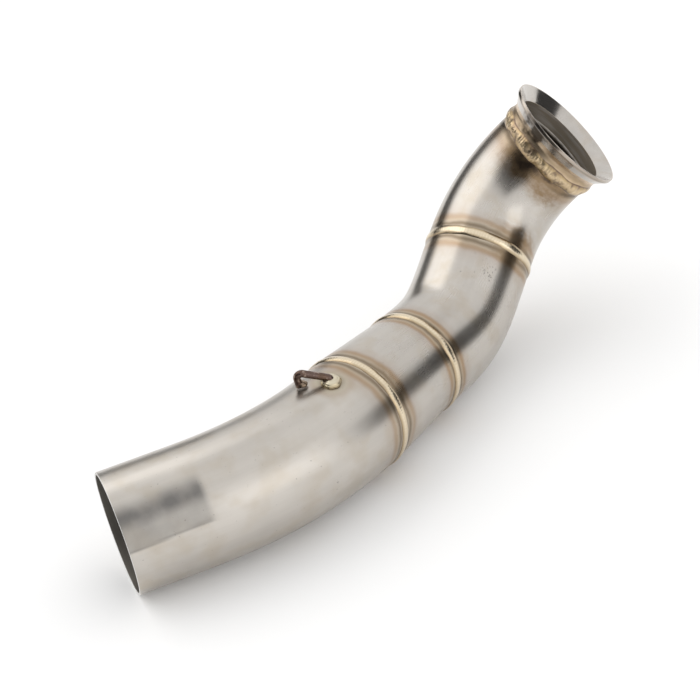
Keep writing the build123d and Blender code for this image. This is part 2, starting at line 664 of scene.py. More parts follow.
def heat_map(axis: PipeAxis, hook: Place) -> HeatMap:
    """The marks of this pipe.

    Args:
        axis: The pipe's axis.
        hook: Place of the hook's rear foot.

    Returns:
        The heat map.
    """
    lower, middle, upper, flange = axis.lower_joint, axis.middle_joint, axis.upper_joint, axis.flange_joint
    soot_and_shade_by_the_flange_weld = (
        Mark(flange - 6.0 * MM, 118.0, 3.8 * MM, 10.0 * MM, 0.50),
        Mark(flange - 11.5 * MM, 121.0, 6.5 * MM, 4.2 * MM, 0.40),
        Mark(flange - 14.0 * MM, 100.0, 7.0 * MM, 7.0 * MM, 0.15),
        Mark(flange - 3.5 * MM, 148.0, 2.2 * MM, 10.0 * MM, 0.55),
        # Painted shade: the neck darkened in brown towards its side at clock 160.
        Mark(flange - 13.0 * MM, 160.0, 12.0 * MM, 16.0 * MM, 0.26),
    )
    scorches_by_the_butt_welds = (
        Mark(upper + 8.5 * MM, 166.0, 13.0 * MM, 15.0 * MM, 0.26),
        Mark(upper - 6.5 * MM, 160.0, 5.0 * MM, 10.0 * MM, 0.19),
        Mark(lower + 5.5 * MM, 148.0, 5.5 * MM, 20.0 * MM, 0.19),
        Mark(middle + 5.0 * MM, 158.0, 3.5 * MM, 12.0 * MM, 0.14),
    )
    # Burn marks on the flare, deepened into a painted reflection of the dark neck.
    burns_and_reflection_on_the_flange = (
        Mark(flange + 8.0 * MM, 112.0, 2.2 * MM, 3.0 * MM, 0.90),
        Mark(flange + 5.0 * MM, 94.0, 4.0 * MM, 7.0 * MM, 0.55),
        Mark(flange + 12.5 * MM, 106.0, 5.0 * MM, 14.0 * MM, 0.80),
    )
    return HeatMap(
        butt=((lower, 1.1), (middle, 0.85), (upper, 1.15)),
        flange=flange,
        hook=hook,
        scorches_and_shade=soot_and_shade_by_the_flange_weld + scorches_by_the_butt_welds + burns_and_reflection_on_the_flange,
        pits=(
            Mark(248.0 * MM, 143.5, 6.0 * MM, 7.5 * MM, 0.9),
            Mark(23.0 * MM, 172.0, 5.0 * MM, 1.6 * MM, 0.8),
        ),
    )


# Shader tools

Feed = Union[float, Colour, bpy.types.NodeSocket]
Sockets = dict[str, bpy.types.NodeSocket]


class Wiring:
    """Adds nodes to one tree and links them, so that a shader reads as a list of steps."""

    def __init__(self, tree: bpy.types.NodeTree) -> None:
        """Keeps the tree."""
        self.tree = tree

    def feed(self, socket: bpy.types.NodeSocket, value: Feed) -> None:
        """Links a socket to another one, or sets its plain value."""
        if isinstance(value, bpy.types.NodeSocket):
            self.tree.links.new(value, socket)
        elif isinstance(value, tuple):
            socket.default_value = (*value, 1.0) if socket.type == "RGBA" else value
        else:
            socket.default_value = value

    def add(
        self, kind: str, inputs: Optional[dict[Union[str, int], Feed]] = None, **settings: object
    ) -> bpy.types.Node:
        """Adds a node.

        Args:
            kind: Its type without the leading ShaderNode.
            inputs: Values or sockets by input name or number.
            **settings: Properties of the node.

        Returns:
            The node.
        """
        node = self.tree.nodes.new(f"ShaderNode{kind}")
        for key, value in settings.items():
            setattr(node, key, value)
        for key, value in (inputs or {}).items():
            self.feed(node.inputs[key], value)
        return node

    def math(
        self, operation: str, first: Feed, second: Feed = 0.0, clamp: bool = False
    ) -> bpy.types.NodeSocket:
        """One Math node's result."""
        return self.add("Math", {0: first, 1: second}, operation=operation, use_clamp=clamp).outputs[0]

    def plus(self, first: Feed, second: Feed, clamp: bool = False) -> bpy.types.NodeSocket:
        """The sum of two values."""
        return self.math("ADD", first, second, clamp)

    def times(self, first: Feed, second: Feed) -> bpy.types.NodeSocket:
        """The product of two values."""
        return self.math("MULTIPLY", first, second)

    def swing(self, value: Feed, amount: Feed, middle: float = 0.5) -> bpy.types.NodeSocket:
        """How far a value lies above or below its middle, times an amount."""
        return self.times(self.math("SUBTRACT", value, middle), amount)

    def remap(
        self, value: Feed, low: float, high: float, to_low: Feed = 0.0, to_high: Feed = 1.0
    ) -> bpy.types.NodeSocket:
        """A smooth step from one range to another, clamped at both ends."""
        ends = {0: value, 1: low, 2: high, 3: to_low, 4: to_high}
        return self.add("MapRange", ends, interpolation_type="SMOOTHSTEP").outputs[0]

    def band(self, value: Feed, centre: float, width: float) -> bpy.types.NodeSocket:
        """A smooth bump, 1 at its centre and 0 from its width away."""
        return self.remap(self.math("ABSOLUTE", self.math("SUBTRACT", value, centre)), width, 0.0)

    def mix(self, factor: Feed, first: Feed, second: Feed, blend: str = "MIX") -> bpy.types.NodeSocket:
        """Two colours mixed."""
        node = self.add("Mix", data_type="RGBA", blend_type=blend, clamp_factor=True)
        for index, value in ((0, factor), (6, first), (7, second)):
            self.feed(node.inputs[index], value)
        return node.outputs[2]

    def noise(
        self, place: Feed, scale: Feed, detail: float = 2.0, roughness: float = 0.5
    ) -> bpy.types.NodeSocket:
        """Noise from 0 to 1 about a half."""
        inputs = {"Vector": place, "Scale": scale, "Detail": detail, "Roughness": roughness}
        return self.add("TexNoise", inputs).outputs["Fac"]

    def stretch(self, place: Feed, amounts: Place) -> bpy.types.NodeSocket:
        """A place with each part of it multiplied, which stretches a pattern along the small ones."""
        return self.add("Mapping", {"Vector": place, "Scale": amounts}).outputs[0]

    def carried(self, name: Field) -> bpy.types.NodeSocket:
        """A value carried on the points, which is a place for the lay and a number for the others."""
        node = self.add("Attribute", attribute_type="GEOMETRY", attribute_name=name.value)
        return node.outputs["Vector" if name is Field.LAY else "Fac"]

    def group(self, tree: bpy.types.NodeTree, inputs: dict[str, Feed]) -> bpy.types.Node:
        """A shared group placed with its own values."""
        node = self.tree.nodes.new("ShaderNodeGroup")
        node.node_tree = tree
        for key, value in inputs.items():
            self.feed(node.inputs[key], value)
        return node


class Metal:
    """A metal being made: its material, the wiring of it and its shader."""

    def __init__(self, name: str) -> None:
        """Starts the material under a name."""
        self.material = bpy.data.materials.new(name)
        self.material.use_nodes = True
        self.wires = Wiring(self.material.node_tree)
        self.shader = self.material.node_tree.nodes["Principled BSDF"]
        self.shader.inputs["Metallic"].default_value = 1.0

    def finish(
        self, colour: Feed, roughness: Feed, height: Feed, strength: float, distance: float
    ) -> bpy.types.Material:
        """Feeds the shader.

        Args:
            colour: Colour of the metal.
            roughness: Its roughness.
            height: Height of its surface, 0 to 1.
            strength: Strength of the bump that the height gives.
            distance: Depth of that bump.

        Returns:
            The material.
        """
        bump = self.wires.add("Bump", {"Strength": strength, "Distance": distance, "Height": height})
        self.wires.feed(self.shader.inputs["Base Color"], colour)
        self.wires.feed(self.shader.inputs["Roughness"], roughness)
        self.wires.feed(self.shader.inputs["Normal"], bump.outputs[0])
        return self.material


SOCKETS = {"float": "NodeSocketFloat", "colour": "NodeSocketColor", "vector": "NodeSocketVector"}


def shared_group(
    name: str,
    takes: Sequence[tuple[str, str, Feed]],
    gives: Sequence[tuple[str, str]],
    build: Callable[[Wiring, Sockets], Sockets],
) -> bpy.types.NodeTree:
    """Builds a node group once, with named inputs and outputs.

    Args:
        name: Name of the group.
        takes: (name, kind, value) of each input.
        gives: (name, kind) of each output.
        build: Called with the wiring and the inputs; returns the sockets for the outputs.

    Returns:
        The group's tree.
    """
    found = bpy.data.node_groups.get(name)
    if found:
        return found
    tree = bpy.data.node_groups.new(name, "ShaderNodeTree")
    for label, kind, value in takes:
        socket = tree.interface.new_socket(label, in_out="INPUT", socket_type=SOCKETS[kind])
        socket.default_value = (*value, 1.0) if kind == "colour" else value
    for label, kind in gives:
        tree.interface.new_socket(label, in_out="OUTPUT", socket_type=SOCKETS[kind])
    entry, end = tree.nodes.new("NodeGroupInput"), tree.nodes.new("NodeGroupOutput")
    results = build(Wiring(tree), {label: entry.outputs[label] for label, _, _ in takes})
    for label, socket in results.items():
        tree.links.new(socket, end.inputs[label])
    return tree


def heat_band_group() -> bpy.types.NodeTree:
    """Bands of heat colour beside a weld, each laid over the colour below it; line and toe also hold painted
    shade.

    A band's share is a smooth bump of (gap - its centre) over its width; the gap wavers a little with
    noise, as the heat does.

    Returns:
        The group, with the colour out and how much of it is tint.
    """

    def build(wires: Wiring, given: Sockets) -> Sockets:
        """Wires the bands."""
        waver = wires.noise(given["Lay"], 55.0, 3.0)
        gap = wires.plus(given["Gap"], wires.swing(waver, given["Waver"]))
        share = wires.math("DIVIDE", gap, given["Reach"])
        outer = wires.remap(share, 1.9, 0.9)
        straw = wires.remap(share, 1.0, 0.45)
        # The line and the toe are heat colour and painted shade beside the bead.
        line = wires.band(share, 0.80, 0.36)
        toe = wires.band(share, 0.40, 0.24)
        patchy = wires.remap(wires.noise(given["Lay"], 16.0, 2.0), 0.3, 0.7, 0.6, 1.0)
        colour = given["Colour"]
        for label, bump in (("Outer", outer), ("Straw", straw), ("Line", line)):
            laid = wires.times(wires.times(bump, given[label]), patchy)
            colour = wires.mix(laid, colour, given[f"{label} Colour"])
        colour = wires.mix(wires.times(toe, given["Toe"]), colour, given["Toe Colour"])
        return {"Colour": colour, "Tint": straw}

    return shared_group(
        "Heat bands beside a weld",
        (
            ("Colour", "colour", (0.6, 0.6, 0.6)),
            ("Lay", "vector", (0.0, 0.0, 0.0)),
            ("Gap", "float", 1.0),
            ("Reach", "float", 0.0085),
            ("Waver", "float", 0.0045),
            ("Straw", "float", 0.7),
            ("Line", "float", 0.8),
            ("Toe", "float", 0.75),
            ("Outer", "float", 0.4),
            ("Straw Colour", "colour", (0.5, 0.4, 0.2)),
            ("Line Colour", "colour", (0.2, 0.1, 0.05)),
            ("Toe Colour", "colour", (0.1, 0.06, 0.03)),
            ("Outer Colour", "colour", (0.4, 0.28, 0.2)),
        ),
        (("Colour", "colour"), ("Tint", "float")),
        build,
    )


def handled_steel_group() -> bpy.types.NodeTree:
    """Worn satin steel: soft clouds in its colour and gloss, fine scratches and small specks.

    Clouds are low noise on the straightened pipe. Streaks and scratches are noise stretched along it,
    one broad and one fine. Specks are the tips of high noise, and more of them where it is pitted.

    Returns:
        The group, with colour, roughness and height out.
    """

    def build(wires: Wiring, given: Sockets) -> Sockets:
        """Wires the steel."""
        lay = given["Lay"]
        cloud = wires.noise(lay, 28.0, 3.0, 0.55)
        blotch = wires.noise(lay, 90.0)
        streak = wires.noise(wires.stretch(lay, (9.0, 120.0, 120.0)), 1.0)
        scratch = wires.noise(wires.stretch(lay, (60.0, 1400.0, 1400.0)), 1.0, 3.0, 0.6)
        ring = wires.noise(wires.stretch(lay, (2600.0, 90.0, 90.0)), 1.0)
        crowded = wires.times(given["Pitted"], 0.17)
        specks = wires.remap(wires.plus(wires.noise(lay, 900.0, 1.0), crowded), 0.74, 0.80)
        shade = wires.plus(wires.swing(cloud, given["Clouds"]), 1.0)
        shade = wires.plus(wires.swing(streak, given["Streaks"]), shade)
        shade = wires.plus(wires.swing(scratch, given["Grain"]), shade)
        grey = wires.add("CombineColor", {0: shade, 1: shade, 2: shade}).outputs[0]
        toned = wires.mix(1.0, given["Colour"], grey, "MULTIPLY")
        warm = wires.mix(wires.remap(blotch, 0.40, 0.75, 0.0, 0.5), toned, given["Warm Colour"])
        marked = wires.mix(wires.times(specks, given["Specks"]), warm, (0.12, 0.11, 0.10))
        rough = wires.plus(given["Roughness"], wires.swing(cloud, 0.16))
        rough = wires.plus(rough, wires.swing(streak, 0.10))
        rough = wires.plus(rough, wires.swing(scratch, 0.04), clamp=True)
        height = wires.plus(wires.times(scratch, 0.7), wires.times(ring, 0.3))
        return {"Colour": marked, "Roughness": rough, "Height": height}

    return shared_group(
        "Handled satin steel",
        (
            ("Colour", "colour", (0.6, 0.6, 0.6)),
            ("Warm Colour", "colour", (0.6, 0.55, 0.5)),
            ("Lay", "vector", (0.0, 0.0, 0.0)),
            ("Clouds", "float", 0.28),
            ("Streaks", "float", 0.28),
            ("Grain", "float", 0.08),
            ("Specks", "float", 0.5),
            ("Pitted", "float", 0.0),
            ("Roughness", "float", 0.3),
        ),
        (("Colour", "colour"), ("Roughness", "float"), ("Height", "float")),
        build,
    )


def ragged_scorch_group() -> bpy.types.NodeTree:
    """A carried depth of scorch and painted shade, whose soft edge is broken up by noise.

    Returns:
        The group, with the depth of the scorch and painted shade out.
    """

    def build(wires: Wiring, given: Sockets) -> Sockets:
        """Wires the scorch."""
        broken = wires.remap(wires.noise(given["Lay"], given["Scale"], 3.0), 0.25, 0.7, 0.65, 1.2)
        return {"Depth": wires.times(given["Scorch"], broken)}

    return shared_group(
        "Ragged scorch",
        (("Lay", "vector", (0.0, 0.0, 0.0)), ("Scorch", "float", 0.0), ("Scale", "float", 260.0)),
        (("Depth", "float"),),
        build,
    )


# Finishes


@dataclass(frozen=True)
class HeatBands:
    """The heat colours and painted shade beside one weld, with the share and the colour of each band.

    Attributes:
        gap: The carried distance to the weld.
        straw: The straw band, from the weld outwards.
        line: The darker line within it, heat colour and painted shade beside the bead.
        toe: The dark toe beside the bead, heat colour and painted shade where tube and bead meet.
        outer: The haze outside the straw.
        reach: Distance at which the straw has gone.
        waver: How far the bands waver.
    """

    gap: Field
    straw: tuple[float, Colour]
    line: tuple[float, Colour]
    toe: tuple[float, Colour]
    outer: tuple[float, Colour]
    reach: float
    waver: float

    def over(self, wires: Wiring, colour: Feed, lay: Feed) -> bpy.types.Node:
        """Lays the bands over a colour.

        Args:
            wires: The material's wiring.
            colour: The colour below.
            lay: Place on the straightened pipe.

        Returns:
            The group's node, with Colour and Tint out.
        """
        given: dict[str, Feed] = {
            "Colour": colour,
            "Lay": lay,
            "Gap": wires.carried(self.gap),
            "Reach": self.reach,
            "Waver": self.waver,
        }
        bands = (("Straw", self.straw), ("Line", self.line), ("Toe", self.toe), ("Outer", self.outer))
        for label, (share, tone) in bands:
            given[label], given[f"{label} Colour"] = share, tone
        return wires.group(heat_band_group(), given)


@dataclass(frozen=True)
class SatinTube:
    """Finish of the stainless tubes and cone, with heat colours and painted shade beside their welds."""

    steel: Colour = (0.545, 0.512, 0.470)
    warm: Colour = (0.48, 0.42, 0.34)
    rubbed: Colour = (0.185, 0.177, 0.168)
    # Sooty colour and painted shade inside the bore.
    inside: Colour = (0.19, 0.176, 0.156)
    # Painted highlight on the outlet's sawn edge.
    cut_edge_highlight: Colour = (0.80, 0.79, 0.77)
    # Colours of the scorch marks, which also paint the shade on the neck.
    soot_and_shade: Colour = (0.09, 0.065, 0.048)
    singe_and_shade: Colour = (0.27, 0.19, 0.115)
    roughness: float = 0.31
    upper_roughness: float = 0.26
    bands: tuple[HeatBands, ...] = (
        HeatBands(
            Field.BUTT_GAP,
            straw=(0.7, (0.52, 0.435, 0.305)),
            line=(0.8, (0.35, 0.23, 0.13)),
            toe=(0.75, (0.15, 0.105, 0.065)),
            outer=(0.4, (0.42, 0.335, 0.27)),
            reach=0.0085,
            waver=0.0045,
        ),
        HeatBands(
            Field.FLANGE_GAP,
            straw=(0.7, (0.40, 0.29, 0.15)),
            line=(0.6, (0.36, 0.25, 0.16)),
            toe=(0.8, (0.08, 0.055, 0.035)),
            outer=(0.65, (0.46, 0.36, 0.28)),
            reach=0.0125,
            waver=0.008,
        ),
        HeatBands(
            Field.HOOK_GAP,
            straw=(0.6, (0.46, 0.40, 0.27)),
            line=(0.3, (0.35, 0.23, 0.13)),
            toe=(0.35, (0.15, 0.105, 0.065)),
            outer=(0.0, (0.42, 0.335, 0.27)),
            reach=0.0115,
            waver=0.003,
        ),
    )

    def material(self) -> bpy.types.Material:
        """Builds the material.

        The steel comes first, then the rubbed patch, the heat bands with their painted shade, the scorch
        marks with the painted shade on the neck, the sooty colour and painted shade inside, and the painted
        highlight on the sawn edge of the outlet.

        Returns:
            The material.
        """
        metal = Metal("Satin stainless tube")
        wires = metal.wires
        lay = wires.carried(Field.LAY)
        along = wires.add("SeparateXYZ", {0: lay}).outputs[0]
        worn = wires.group(
            handled_steel_group(),
            {
                "Colour": self.steel,
                "Warm Colour": self.warm,
                "Lay": lay,
                "Roughness": wires.remap(along, 0.10, 0.25, self.roughness, self.upper_roughness),
                "Pitted": wires.carried(Field.PITTED),
            },
        )
        uneven = wires.remap(wires.noise(lay, 70.0, 3.0), 0.3, 0.7, 0.72, 1.08)
        patch = wires.times(wires.carried(Field.RUBBED_AND_SHADED), uneven)
        colour = wires.mix(patch, worn.outputs["Colour"], self.rubbed)
        for bands in self.bands:
            colour = bands.over(wires, colour, lay).outputs["Colour"]
        # Scorch marks darken the steel; on the neck they are painted shade.
        scorch = {"Lay": lay, "Scorch": wires.carried(Field.SCORCH_AND_SHADE), "Scale": 260.0}
        depth = wires.group(ragged_scorch_group(), scorch).outputs["Depth"]
        colour = wires.mix(wires.remap(depth, 0.03, 0.32), colour, self.singe_and_shade)
        colour = wires.mix(wires.remap(depth, 0.28, 0.8), colour, self.soot_and_shade)
        # Sooty colour and painted shade inside, and a painted highlight on the sawn edge.
        inner = wires.carried(Field.INSIDE)
        sawn = wires.remap(along, 0.25 * MM, 0.12 * MM)
        colour = wires.mix(sawn, wires.mix(inner, colour, self.inside), self.cut_edge_highlight)
        duller = wires.plus(wires.remap(inner, 0.0, 0.4, 0.0, 0.25), wires.times(sawn, 0.3))
        rough = wires.plus(worn.outputs["Roughness"], duller, clamp=True)
        return metal.finish(colour, rough, worn.outputs["Height"], strength=0.015, distance=0.1 * MM)


@dataclass(frozen=True)
class WeldFinish:
    """Finish of a bead: a straw crest, brown toes and colour that changes from ripple to ripple.

    Attributes:
        name: Name of the material.
        crest: Colour along the middle of the bead.
        side: Colour of its sides, and of the fronts of its ripples.
        toe: Colour where it meets the steel.
        bloom: Colour of its patches.
        inside: Colour of its root in the bore, sooty colour and painted shade.
        burnt: How far small patches take the toe's colour.
        texture: Strength of its bump.
        roughness: Its roughness.
    """

    name: str
    crest: Colour = (0.78, 0.67, 0.50)
    side: Colour = (0.47, 0.37, 0.24)
    toe: Colour = (0.14, 0.10, 0.065)
    bloom: Colour = (0.50, 0.40, 0.30)
    inside: Colour = (0.27, 0.25, 0.225)
    burnt: float = 0.0
    texture: float = 0.12
    roughness: float = 0.20

    def material(self) -> bpy.types.Material:
        """Builds the material.

        Returns:
            The material.
        """
        metal = Metal(self.name)
        wires = metal.wires
        lay = wires.carried(Field.LAY)
        across = wires.math("ABSOLUTE", wires.carried(Field.ACROSS))
        patches = wires.noise(lay, 70.0, 3.0, 0.6)
        fine = wires.noise(lay, 700.0)
        blurred = wires.plus(across, wires.swing(patches, 0.5))
        colour = wires.mix(wires.remap(blurred, 0.25, 0.78), self.crest, self.side)
        colour = wires.mix(wires.remap(patches, 0.55, 0.75, 0.0, 0.6), colour, self.bloom)
        colour = wires.mix(wires.times(wires.carried(Field.RIPPLE), 0.22), colour, self.side)
        colour = wires.mix(wires.remap(blurred, 0.72, 1.0, 0.0, 0.9), colour, self.toe)
        if self.burnt > 0:
            burns = wires.remap(wires.noise(lay, 210.0, 3.0, 0.6), 0.50, 0.66, 0.0, self.burnt)
            colour = wires.mix(burns, colour, self.toe)
        # Sooty colour and painted shade on the root in the bore.
        colour = wires.mix(wires.carried(Field.INSIDE), colour, self.inside)
        rough = wires.plus(self.roughness, wires.swing(fine, 0.25, middle=0.4), clamp=True)
        return metal.finish(colour, rough, fine, strength=self.texture, distance=0.2 * MM)


@dataclass(frozen=True)
class TurnedSteel:
    """Finish of the flange: turned rings, a polished cone, gold by its weld, burns, painted shade and
    reflection.
    """

    steel: Colour = (0.54, 0.51, 0.475)
    warm: Colour = (0.47, 0.41, 0.34)
    # Darker rim edge, and painted shade in the corner behind the rim.
    rim_edge: Colour = (0.26, 0.24, 0.22)
    # Sooty colour and painted shade in the throat.
    throat: Colour = (0.33, 0.285, 0.23)
    # Burn marks, dark enough to paint the neck's reflection on the flare.
    soot_and_shade: Colour = (0.04, 0.03, 0.02)
    roughness: float = 0.15
    bands: HeatBands = HeatBands(
        Field.FLANGE_GAP,
        straw=(0.9, (0.70, 0.52, 0.32)),
        line=(0.6, (0.52, 0.38, 0.24)),
        toe=(0.55, (0.22, 0.155, 0.09)),
        outer=(0.6, (0.54, 0.44, 0.34)),
        reach=0.0135,
        waver=0.007,
    )

    def material(self) -> bpy.types.Material:
        """Builds the material.

        Returns:
            The material.
        """
        metal = Metal("Turned flange steel")
        wires = metal.wires
        lay = wires.carried(Field.LAY)
        worn = wires.group(
            handled_steel_group(),
            {
                "Colour": self.steel,
                "Warm Colour": self.warm,
                "Lay": lay,
                "Clouds": 0.12,
                "Grain": 0.05,
                "Specks": 0.2,
                "Roughness": self.roughness,
            },
        )
        tinted = self.bands.over(wires, worn.outputs["Colour"], lay)
        # Burn marks and the painted reflection on the flare, then the darker rim edge and the shade painted
        # behind it.
        scorch = {"Lay": lay, "Scorch": wires.carried(Field.SCORCH_AND_SHADE), "Scale": 300.0}
        depth = wires.group(ragged_scorch_group(), scorch).outputs["Depth"]
        outside = wires.mix(wires.remap(depth, 0.15, 0.8), tinted.outputs["Colour"], self.soot_and_shade)
        outside = wires.mix(wires.carried(Field.RUBBED_AND_SHADED), outside, self.rim_edge)
        # Inside, the throat's sooty colour and painted shade under turned rings.
        inner = wires.carried(Field.INSIDE)
        rings = wires.noise(wires.stretch(lay, (520.0, 45.0, 45.0)), 1.0)
        scored = wires.mix(wires.remap(rings, 0.4, 0.75, 0.0, 0.7), self.throat, self.steel)
        colour = wires.mix(wires.remap(inner, 0.5, 1.0), outside, scored)
        tinted_rough = wires.plus(worn.outputs["Roughness"], wires.times(tinted.outputs["Tint"], 0.18))
        rough = wires.plus(tinted_rough, wires.times(inner, 0.3), clamp=True)
        turning = wires.noise(wires.stretch(lay, (5200.0, 20.0, 20.0)), 1.0)
        return metal.finish(colour, rough, turning, strength=0.10, distance=0.1 * MM)


@dataclass(frozen=True)
class BurntRod:
    """Finish of the hook: brown and violet heat colours on a bent rod, with straw and pale patches."""

    brown: Colour = (0.13, 0.082, 0.058)
    violet: Colour = (0.13, 0.09, 0.078)
    straw: Colour = (0.42, 0.33, 0.24)
    pale: Colour = (0.52, 0.42, 0.36)

    def material(self) -> bpy.types.Material:
        """Builds the material.

        Returns:
            The material.
        """
        metal = Metal("Burnt hook rod")
        wires = metal.wires
        place = wires.add("TexCoord").outputs["Object"]
        slow = wires.noise(place, 160.0)
        fine = wires.noise(place, 1200.0)
        colour = wires.mix(wires.remap(slow, 0.38, 0.62), self.brown, self.violet)
        colour = wires.mix(wires.remap(slow, 0.60, 0.78), colour, self.straw)
        patches = wires.remap(wires.noise(place, 420.0, 1.0), 0.58, 0.72, 0.0, 0.6)
        colour = wires.mix(patches, colour, self.pale)
        rough = wires.remap(fine, 0.3, 0.7, 0.16, 0.38)
        return metal.finish(colour, rough, fine, strength=0.2, distance=0.2 * MM)


# The pipe's pieces


def keep(built: bpy.types.Object, node: str) -> None:
    """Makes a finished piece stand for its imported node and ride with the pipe."""
    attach(built, "root")
    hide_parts(node)
    LOG.info("%s: %d faces", built.name, len(built.data.polygons))


@dataclass
class TubeWork:
    """The three bent tubes and the reducer between them.

    Attributes:
        axis: The pipe's axis.
        heat: Where the steel is marked.
        lip: Length of the reducer's parallel ends, from the middles of its welds.
        lip_rounding: Radius with which the lips run into the cone.
        outlet_cut: Rounding of the sawn edges at the outlet.
        welded_cut: Rounding of the edges at a weld.
        bright_inside: Share of the inside's sooty colour and painted shade that the bore past the upper weld
            takes.
        columns: Points in a ring.
        step: Longest step along the pipe.
    """

    axis: PipeAxis
    heat: HeatMap
    lip: float = 5.0 * MM
    lip_rounding: float = 30.0 * MM
    outlet_cut: float = 0.12 * MM
    welded_cut: float = 0.05 * MM
    bright_inside: float = 0.35
    columns: int = 192
    step: float = 1.3 * MM

    def skin(self, outline: Array) -> Skin:
        """The skin of a closed (along, radius) outline carried round the pipe's axis.

        A point is inside where it lies 0.2 mm or more under the middle of the wall.
        """
        grid = PipeGrid.carried(self.axis, outline[:, :1], outline[:, 1:], self.columns)
        share = np.clip((grid.along - self.axis.lower_joint) / self.axis.reducer, 0, 1)
        middle = OUTLET_RADIUS - share * (OUTLET_RADIUS - HEAD_RADIUS) - WALL / 2
        # The bore past the upper weld takes less of the painted shade inside.
        shade = np.where(grid.along > self.axis.upper_joint, self.bright_inside, 1.0)
        inside = (grid.radius < middle - 0.2 * MM) * shade
        return Skin(grid.points, self.heat.fields(grid, inside))

    def tube(self, start: float, end: float, radius: float, cut: float) -> Skin:
        """A tube between two lengths, with a trace of rounding at the cut edges."""
        bore = radius - WALL
        corners = ((start, radius, cut), (end, radius, cut), (end, bore, cut), (start, bore, cut))
        return self.skin(eased_profile(corners, self.step))

    def cone(self) -> Skin:
        """The reducer: parallel lips with a straight cone between them, eased into each other."""
        outside = (
            (self.axis.lower_joint + HALF_GAP, OUTLET_RADIUS, 0.0),
            (self.axis.lower_joint + self.lip, OUTLET_RADIUS, self.lip_rounding),
            (self.axis.middle_joint - self.lip, HEAD_RADIUS, self.lip_rounding),
            (self.axis.middle_joint - HALF_GAP, HEAD_RADIUS, 0.0),
        )
        inside = tuple((along, radius - WALL, rounding) for along, radius, rounding in reversed(outside))
        return self.skin(eased_profile(outside + inside, self.step))

    def build(self, steel: bpy.types.Material) -> None:
        """Builds the four pieces in the given steel."""
        lower, middle = self.axis.lower_joint, self.axis.middle_joint
        upper, flange = self.axis.upper_joint, self.axis.flange_joint
        tubes = {
            "lower_bend": self.tube(0.0, lower - HALF_GAP, OUTLET_RADIUS, self.outlet_cut),
            "middle_bend": self.tube(middle + HALF_GAP, upper - HALF_GAP, HEAD_RADIUS, self.welded_cut),
            "upper_bend": self.tube(upper + HALF_GAP, flange - HALF_GAP, HEAD_RADIUS, self.welded_cut),
        }
        for node, skin in tubes.items():
            keep(skin.object(f"{node}_tube", steel), node)
        keep(self.cone().object("reducer_shell", steel), "reducer_cone")


@dataclass(frozen=True)
class Bead:
    """One butt weld.

    Attributes:
        node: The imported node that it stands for.
        at: Length of its middle along the pipe.
        before: Radius of the tube before it.
        after: Radius of the tube after it.
        seed: Seed of its unevenness.
        half_width: Half its width.
        crown: Its height.
        pitch: Distance between two ripples.
        ripple: Height of a ripple.
        unrest: How uneven it is, 0 to 1.
    """

    node: str
    at: float
    before: float
    after: float
    seed: int
    half_width: float = 2.7 * MM
    crown: float = 0.8 * MM
    pitch: float = 1.5 * MM
    ripple: float = 0.03 * MM
    unrest: float = 0.10


Stretch = tuple[Array, Array, Array, Array, Array]


